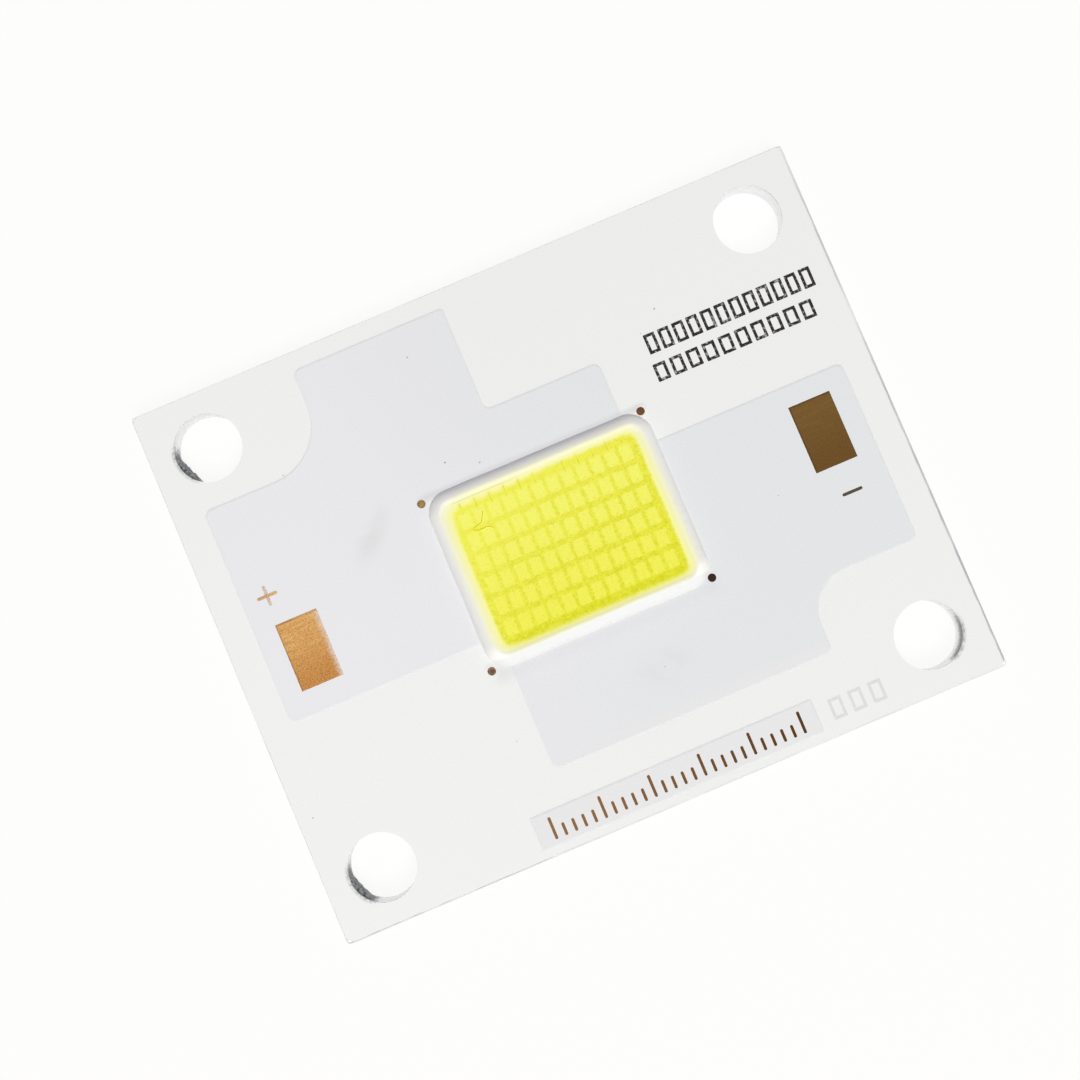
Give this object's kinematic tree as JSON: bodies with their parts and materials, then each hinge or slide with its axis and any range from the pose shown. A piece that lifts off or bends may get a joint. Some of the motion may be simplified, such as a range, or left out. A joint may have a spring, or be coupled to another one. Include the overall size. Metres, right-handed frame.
{
  "type": "led chip",
  "caption": "Chip-on-board LED on a white-masked aluminium board: a dammed rectangle of phosphor-covered dies with an anode pad, a cathode pad and corner screw holes.",
  "frame": {"origin": "centre of the board's back face, which rests on the heat sink", "axes": "+X along the board's length towards the cathode pad, +Y towards the long edge that the anode track reaches, +Z out of the lit face"},
  "size_m": [0.04, 0.032, 0.0023],
  "materials": {
    "aluminium_core": "milled plate, satin, cut edges bright",
    "dielectric": "filled epoxy, matte",
    "anode_copper": "bare copper, brushed, orange",
    "cathode_copper": "bare copper, tarnished dark brown",
    "label_copper": "copper under the mask",
    "fiducial_copper": "bare copper, tarnished brown",
    "solder_mask": "white solder mask, satin",
    "die_adhesive": "cured silicone film",
    "die": "sapphire, polished",
    "bond_wire": "gold wire, bright",
    "white_silicone": "white silicone, satin",
    "phosphor_silicone": "yellow phosphor in clear silicone, smooth"
  },
  "bodies": {
    "root": {"base_plate": "aluminium_core", "dielectric_layer": "dielectric", "anode_copper": "anode_copper", "cathode_copper": "cathode_copper", "label_copper": "label_copper", "fiducial_copper": "fiducial_copper", "solder_mask": "solder_mask", "die_attach": "die_adhesive", "die_string_01": "die", "die_string_02": "die", "die_string_03": "die", "die_string_04": "die", "die_string_05": "die", "die_string_06": "die", "die_string_07": "die", "die_string_08": "die", "die_string_09": "die", "die_string_10": "die", "die_string_11": "die", "die_string_12": "die", "bond_wires_01": "bond_wire", "bond_wires_02": "bond_wire", "bond_wires_03": "bond_wire", "bond_wires_04": "bond_wire", "bond_wires_05": "bond_wire", "bond_wires_06": "bond_wire", "bond_wires_07": "bond_wire", "bond_wires_08": "bond_wire", "bond_wires_09": "bond_wire", "bond_wires_10": "bond_wire", "bond_wires_11": "bond_wire", "bond_wires_12": "bond_wire", "dam": "white_silicone", "phosphor_fill": "phosphor_silicone"}
  },
  "joints": []
}
